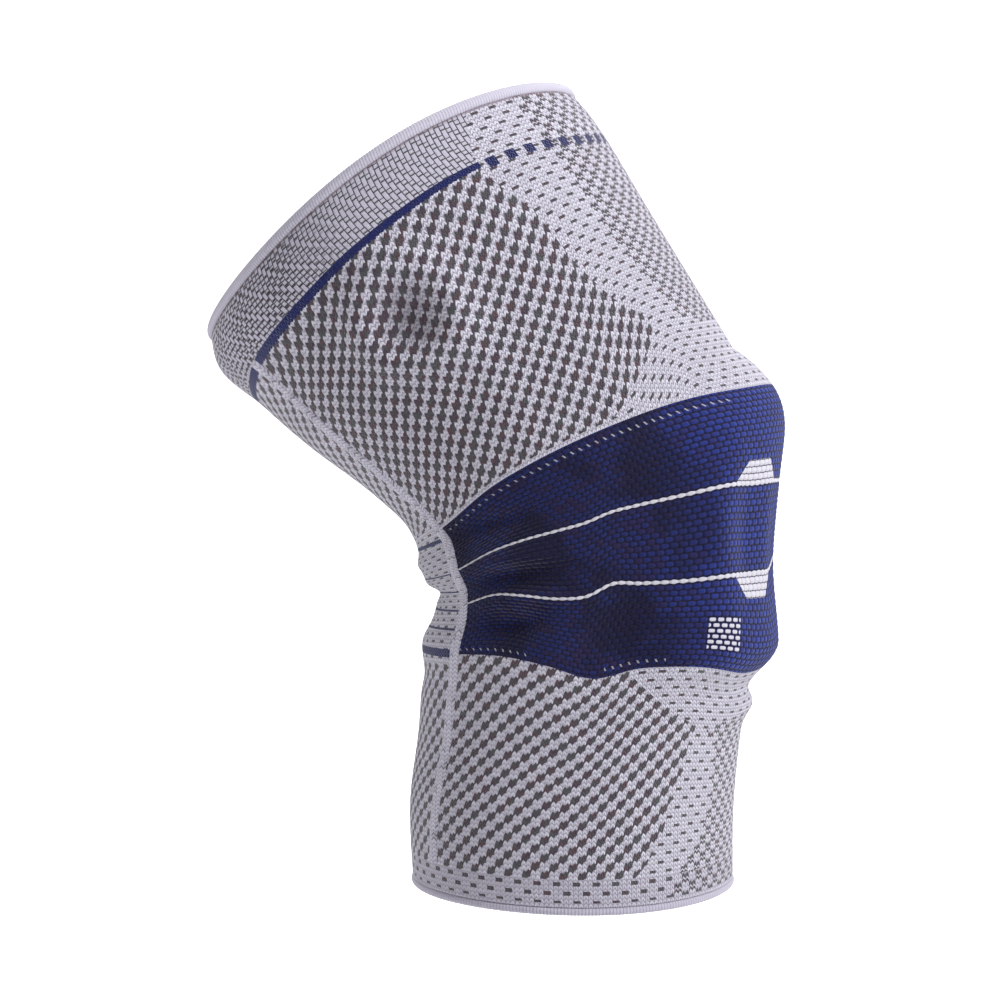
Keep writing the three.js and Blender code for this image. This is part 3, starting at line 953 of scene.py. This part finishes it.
def navy_material():
    """The knee zone: navy bars with two white lines, two white tabs, specks and a plain patch."""
    paint = Paint("navy_knit", sheen=0.08)
    wale, row = paint.map("stitch")
    from_front = paint.map("place")[0]
    height = navy_brick(wale, row)
    level = floor(row + 0.5)
    cell = floor(wale / 2 + level * 0.5)
    rear = ramp(35, 85, from_front)
    # Painted light: the navy is brighter and bluer towards the front.
    yarn = paint.mix(rear, NAVY_PAINTED_LIGHT, NAVY_YARN)
    # Painted shade in the grooves between the navy bars.
    base = paint.mix(ramp(0.1, 0.7, height), NAVY_SHADE, yarn)
    plum = ramp(0.35, 1.0, paint.chance(cell, level)) * (rear * 0.4 + 0.25)
    base = paint.mix(plum, base, NAVY_PLUM)
    # Random dark mottling, which grows towards the back, where it is painted shade.
    blotches = ramp(0.47, 0.6, paint.noise(46)) * (rear * 0.75 + 0.08)
    base = paint.mix(blotches, base, NAVY_SHADE)
    scallop = cosine_of(wale * math.pi) * 0.07
    line_gap = NAVY_ROWS["middle"]
    to_line = least(absolute(row), absolute(row + line_gap))
    white = under(to_line + scallop, 0.3)
    white = most(white, tab_mask(from_front, row / TAB["rows"]))
    white = most(white, tab_mask(from_front, (row + line_gap) / -TAB["rows"]))
    white = white * over(height, 0.12)
    white = most(white, patch_mask(from_front, level + line_gap) * over(height, 0.6))
    specks = speck_mask(wale, row, from_front)
    # The white bars have painted shade in their grooves.
    colour = paint.mix(white, base, paint.mix(ramp(0.1, 0.45, height), LIGHT_SHADE, WHITE_YARN))
    colour = paint.mix(specks * 0.6, colour, WHITE_YARN)
    return paint.finish(colour, height + white * 0.15 + specks * 0.3, 0.45)


# The white tabs, the patch and the specks, in rows of the navy knit and degrees from the front
TAB = {"rows": 3.6, "rear": 45.5, "rear_slope": 7.5, "fore": 19.5, "fore_slope": 6}
PATCH = {"row": -9.5, "half_rows": 3, "angle": 48.5, "half_angle": 6}
SPECKS = {"under_top": 1.7, "above_foot": 1.4, "half_row": 0.3, "top_from": 40, "foot": (66, 86),
          "foot_from": 112}


def tab_mask(from_front, share):
    """1 inside a tab that narrows from its base, at a share of 0, to its top, at 1."""
    fore = TAB["fore"] + share * TAB["fore_slope"]
    rear = TAB["rear"] - share * TAB["rear_slope"]
    return within(from_front, fore, rear) * within(share, 0, 1)


def patch_mask(from_front, level):
    """1 on a plain rectangular patch below the second line, whose bars are white."""
    in_rows = near(level, PATCH["row"], PATCH["half_rows"])
    return in_rows * near(from_front, PATCH["angle"], PATCH["half_angle"])


def speck_mask(wale, row, from_front):
    """1 on the row of small slanting specks just inside the navy zone's edges."""
    high = NAVY_ROWS["upper"] - SPECKS["under_top"]
    low = NAVY_FOOT + SPECKS["above_foot"]
    top = near(row, high, SPECKS["half_row"]) * over(from_front, SPECKS["top_from"])
    along_foot = most(over(from_front, SPECKS["foot_from"]), within(from_front, *SPECKS["foot"]))
    bottom = near(row, low, SPECKS["half_row"]) * along_foot
    return near(fract(wale / 2 + row * 0.35), 0.5, 0.1) * most(top, bottom)


def rib_material():
    """The ribs beside the back strip: plain pale yarn, with a dark speck at the edge now and then."""
    paint = Paint("rib_knit")
    wale, course = paint.map("stitch")
    column, row, up, height = stitch(wale, course, 0.7)
    pale = light_yarn(paint, column, row, height)
    speck = over(paint.chance(column, row), 0.9) * under(up, 0.4)
    colour = paint.mix(speck * 0.7, pale, dark_yarn(paint, column, row))
    return paint.finish(colour, height, 0.3)


def hem_material(name, paleness):
    """Smooth fine-ribbed welt with painted shade in the grooves between its ribs, paler where paleness
    is higher.
    """
    paint = Paint(name, sheen=0.15)
    ribs = arch(fract(paint.map("stitch")[0]))
    shade = paint.mix(ramp(0.0, 0.9, ribs) * 0.55 + paleness, LIGHT_SHADE, LIGHT_YARN)
    colour = paint.mix(paint.noise(180) * 0.3, shade, LIGHT_SHADE)
    return paint.finish(colour, ribs, 0.2)


def inside_material():
    """The reverse of the knit: ladders of loose floats, both yarns showing."""
    paint = Paint("inside_knit")
    wale, course = paint.map("stitch")
    height = ladder(wale, course)
    dark = checks(floor(wale), floor(course))
    # Painted shade in the grooves between the floats.
    pale = paint.mix(ramp(0.1, 0.8, height), LIGHT_SHADE, LIGHT_YARN)
    colour = paint.mix(dark * 0.35, pale, DARK_TINT)
    return paint.finish(colour, height, 0.3)


def navy_inside_material():
    paint = Paint("navy_inside_knit")
    wale, row = paint.map("stitch")
    course = row * 1.5
    height = ladder(wale, course)
    pale = under(paint.chance(floor(wale), floor(course)), 0.2)
    # Painted shade in the grooves between the floats.
    colour = paint.mix(ramp(0.1, 0.8, height), NAVY_SHADE, NAVY_YARN)
    colour = paint.mix(pale * 0.5, colour, LIGHT_SHADE)
    return paint.finish(colour, height, 0.3)


def pad_material():
    """Soft elastomer with a fine matt skin."""
    paint = Paint("pad_foam", roughness=0.55, sheen=0.0)
    mottle = paint.noise(260, 3)
    colour = paint.mix(mottle, srgb(52, 58, 112), srgb(66, 74, 132))
    return paint.finish(colour, mottle, 0.08)


# The pieces
def navy_relief(grid):
    fade = soft_between(NAVY_FOOT, NAVY_ROWS["upper"], 1.5, grid.course)
    return RELIEF["navy"] * fade * (navy_brick(grid.wale, grid.course) - 0.5)


def basket_relief(grid):
    in_basket = smooth_step(-1, 2, grid.maps()["zones"][0])
    edges = smooth_step(0, 2, grid.course) * smooth_step(0, 1, COURSES["top_band"] - grid.course)
    bricks = basket(grid.wale * (BASKET_WALES / WALES["thigh"]), grid.course)
    return RELIEF["basket"] * edges * in_basket * (bricks - 0.6)


def rib_relief(grid):
    share = np.linspace(0, 1, grid.angle.shape[0])[:, None]
    lumps = RELIEF["rib"] * arch(grid.course - np.floor(grid.course))
    return (SEAM_RISE + lumps) * np.sin(math.pi * np.clip(share, 0, 1)) ** 0.7


def add_knit():
    """Makes all the knitted zones, and gives the object and the grid of each node."""
    pieces = {}

    def knit(node, slot, grid, materials, relief=None, closed=False, kind="_knit"):
        piece = knit_piece(node + kind, grid, materials, relief, closed)
        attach(piece, "root")
        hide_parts(node)
        pieces[node] = (piece, grid)

    inside = inside_material()
    upper, middle = NAVY_ROWS["upper"], NAVY_ROWS["middle"]
    around, down_leg = WALES["thigh"], WALES["calf"]
    top = [(stripe_line, top_end, 0, COURSES["top_band"])]
    grid = Grid(whole_turn, top, 1080, 0.45, around)
    knit("top_band", "band_knit", grid, [top_band_material(), inside], basket_relief, closed=True)
    thigh = [(zone_top, stripe_line, 0, COURSES["thigh"])]
    grid = Grid(panel_span, thigh, 400, 0.95, around, on_thigh=True)
    knit("thigh_panel", "pattern_knit", grid, [thigh_material(), inside])
    navy = [
        (zone_bottom, second_white_line, NAVY_FOOT, -middle),
        (second_white_line, first_white_line, -middle, 0),
        (first_white_line, zone_top, 0, upper),
    ]
    grid = Grid(panel_span, navy, 640, 0.5, around)
    knit("knee_panel", "navy_knit", grid, [navy_material(), navy_inside_material()], navy_relief)
    calf = [(bottom_band_line, zone_bottom, 0, COURSES["calf"])]
    grid = Grid(panel_span, calf, 340, 0.95, down_leg)
    knit("calf_panel", "pattern_knit", grid, [calf_material(), inside])
    full_length = [(bottom_band_line, stripe_line, 0, COURSES["back"])]
    grid = Grid(back_span, full_length, 96, 0.8, down_leg)
    knit("back_panel", "back_knit", grid, [back_material(), inside])
    foot = [(bottom_end, bottom_band_line, 0, COURSES["bottom_band"])]
    grid = Grid(whole_turn, foot, 640, 0.5, WALES["bottom_band"])
    knit("bottom_band", "band_knit", grid, [bottom_band_material(), inside], closed=True)
    rib = rib_material()
    for node in ("seam_left", "seam_right"):
        grid = Grid(rib_span(node == "seam_left"), full_length, 12, 0.4, down_leg)
        knit(node, "rib_knit", grid, [rib, inside], rib_relief, kind="_rib")
    return pieces


def declare_sheet(piece, grid, edges):
    """Reads the points on the outside of the piece, and does nothing more with them."""
    points = outer_point(grid.angle, grid.station)


def add_hem(name, node, edge_station, diameter, material, ribs):
    """A round welt along an edge of the tube, with fine ribs across it."""
    sides = 20
    columns = ribs * 4
    inwards = -1 if edge_station > 0 else 1
    angle = whole_turn(0, np.linspace(0, 1, columns + 1))
    middle_station = edge_station + inwards * diameter / 2 / stretch_along(angle, edge_station)
    middle = point_at(angle, middle_station, KNIT_WALL / 2)
    out = unit(outer_point(angle, middle_station) - middle)
    up = unit(outer_point(angle, middle_station + 1) - outer_point(angle, middle_station - 1))
    turn = np.linspace(0, 2 * math.pi, sides + 1)[None, :, None]
    rib = np.arange(columns + 1) / 4
    radius = diameter / 2 + RELIEF["hem"] * np.cos(2 * math.pi * rib)[:, None, None]
    points = middle[:, None] + radius * (np.cos(turn) * out[:, None] + np.sin(turn) * up[:, None])
    body = Body()
    across = rib[:, None] * np.ones(sides + 1)
    round_roll = np.ones(columns + 1)[:, None] * np.linspace(0, 8, sides + 1)
    layout = bake_layout(points.shape[:2], HEM_BAKE)
    index = body.add(points, {"stitch": (across, round_roll), "OFBake": layout})
    body.skin(index, False)
    keep = np.concatenate([index[0, :-1], index[:-1, 0], index[:1, 0]])
    same = np.concatenate([index[-1, :-1], index[:-1, -1], index[-1:, -1]])
    piece = make_object(name, body, [material], (keep, same))
    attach(piece, "root")
    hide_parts(node)
    return piece


def add_pad():
    """The ring-shaped pad between the knit and the kneecap, with rounded edges."""
    columns, rings = 96, 20
    ring = PAD_RING
    turn = -np.linspace(0, 2 * math.pi, columns + 1)[:, None]
    share = np.linspace(0, 1, rings + 1)[None, :]
    half_angle = np.radians(ring["hole_angle"] + (ring["reach_angle"] - ring["hole_angle"]) * share)
    half_high = (ring["hole_high"] + (ring["reach_high"] - ring["hole_high"]) * share) * CALF_LENGTH
    angle = half_angle * np.cos(turn)
    station = station_of(ring["middle"]) + half_high * np.sin(turn)
    cover = KNIT_WALL + PAD_CLEARANCE
    outside = point_at(angle, station, cover + 0 * angle)
    inside = point_at(angle, station, cover + 0 * angle, plain=True)
    middle = (outside + inside) / 2
    crown = (1 - np.abs(2 * share - 1) ** 6)[..., None] ** 0.5
    outside = middle + (outside - middle) * crown
    inside = middle + (inside - middle) * crown
    body = Body()
    outer = body.add(outside, {"OFBake": bake_layout(angle.shape, OUTER_BAKE)})
    inner = body.add(inside, {"OFBake": bake_layout(angle.shape, INNER_BAKE)})
    body.skin(outer, False)
    body.skin(inner, True)
    keep = np.concatenate([outer[0], inner[0, 1:-1], outer[:, 0], outer[:, -1]])
    same = np.concatenate([outer[-1], inner[-1, 1:-1], inner[:, 0], inner[:, -1]])
    piece = make_object("kneecap_pad", body, [pad_material()], (keep, same))
    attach(piece, "root")
    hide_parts("patella_pad")


# Camera, stage and lights
def add_camera():
    data = bpy.data.cameras.new("camera")
    data.lens = 72.4
    data.sensor_width = 36
    camera = new_object("camera", data)
    camera.location = (-0.03654, -0.7, 0.00522)
    camera.rotation_euler = (math.radians(90), 0, 0)
    bpy.context.scene.camera = camera
    bpy.context.scene.view_settings.view_transform = "Standard"


def add_stage():
    """A pale floor that curves up into a backdrop, and glows a little away from the sleeve."""
    floor_level, reach, wall, bend, steps = -0.2, 26.0, 1.1, 0.5, 12
    profile = [(-reach, floor_level), (wall - bend, floor_level)]
    for step in range(1, steps + 1):
        turn = math.radians(90 * step / steps)
        profile.append((wall - bend + bend * math.sin(turn), floor_level + bend - bend * math.cos(turn)))
    profile.append((wall, floor_level + 3))
    points = [(x, y, z) for x in (-reach, reach) for y, z in profile]
    count = len(profile)
    faces = [(i, count + i, count + i + 1, i + 1) for i in range(count - 1)]
    mesh = bpy.data.meshes.new("stage")
    mesh.from_pydata(points, [], faces)
    mesh.polygons.foreach_set("use_smooth", np.ones(len(faces), bool))
    material = bpy.data.materials.new("stage_paper")
    material.use_nodes = True
    tree = material.node_tree
    shader = tree.nodes["Principled BSDF"]
    set_inputs(shader, {
        "Base Color": (0.9, 0.9, 0.9, 1), "Roughness": 1, "Specular IOR Level": 0,
        "Emission Color": (1, 1, 1, 1),
    })
    place = tree.nodes.new("ShaderNodeTexCoord")
    split = tree.nodes.new("ShaderNodeSeparateXYZ")
    tree.links.new(place.outputs["Object"], split.inputs[0])
    across, behind = Term(tree, split.outputs[0]), Term(tree, split.outputs[1])
    far = ramp(1.2, 4.5, across * across + behind * behind)
    glow = most(ramp(-0.02, 0.3, behind) * 0.5, far * 0.6)
    feed(tree, glow, shader.inputs["Emission Strength"])
    mesh.materials.append(material)
    stage = new_object("stage", mesh)


def add_light(name, place, target, size, power):
    data = bpy.data.lights.new(name, "AREA")
    data.shape = "SQUARE"
    data.size = size
    data.energy = power
    light = new_object(name, data)
    light.location = place
    direction = Vector(target) - Vector(place)
    light.rotation_euler = direction.to_track_quat("-Z", "Y").to_euler()


def add_lights():
    world = bpy.data.worlds.new("studio")
    world.use_nodes = True
    set_inputs(world.node_tree.nodes["Background"], {"Color": (1, 1, 1, 1), "Strength": 0.33})
    bpy.context.scene.world = world
    middle = (-0.03, 0, 0)
    add_light("key", (0.8, -0.58, 0.8), middle, 0.45, 14)
    add_light("backdrop_wash", (0, 0.3, 2.0), (0, 1.1, 0.1), 2.2, 22)


add_camera()
add_stage()
add_lights()
knit = add_knit()
top_yarn = hem_material("hem_knit", 0.15)
# The bottom welt's lower paleness is painted shade on the sleeve's lower edge.
bottom_yarn = hem_material("bottom_hem_knit", -0.1)
top_hem = add_hem("top_hem_welt", "top_hem", THIGH_LENGTH, TOP_ROLL, top_yarn, 440)
bottom_hem = add_hem("bottom_hem_welt", "bottom_hem", -CALF_LENGTH, BOTTOM_ROLL, bottom_yarn, 300)
add_pad()
edges = {
    "top_band": [top_hem],
    "thigh_panel": [],
    "knee_panel": [],
    "calf_panel": [knit["bottom_band"][0], bottom_hem],
    "back_panel": [knit["seam_left"][0], knit["seam_right"][0]],
}
for node, edge_pieces in edges.items():
    declare_sheet(*knit[node], edge_pieces)
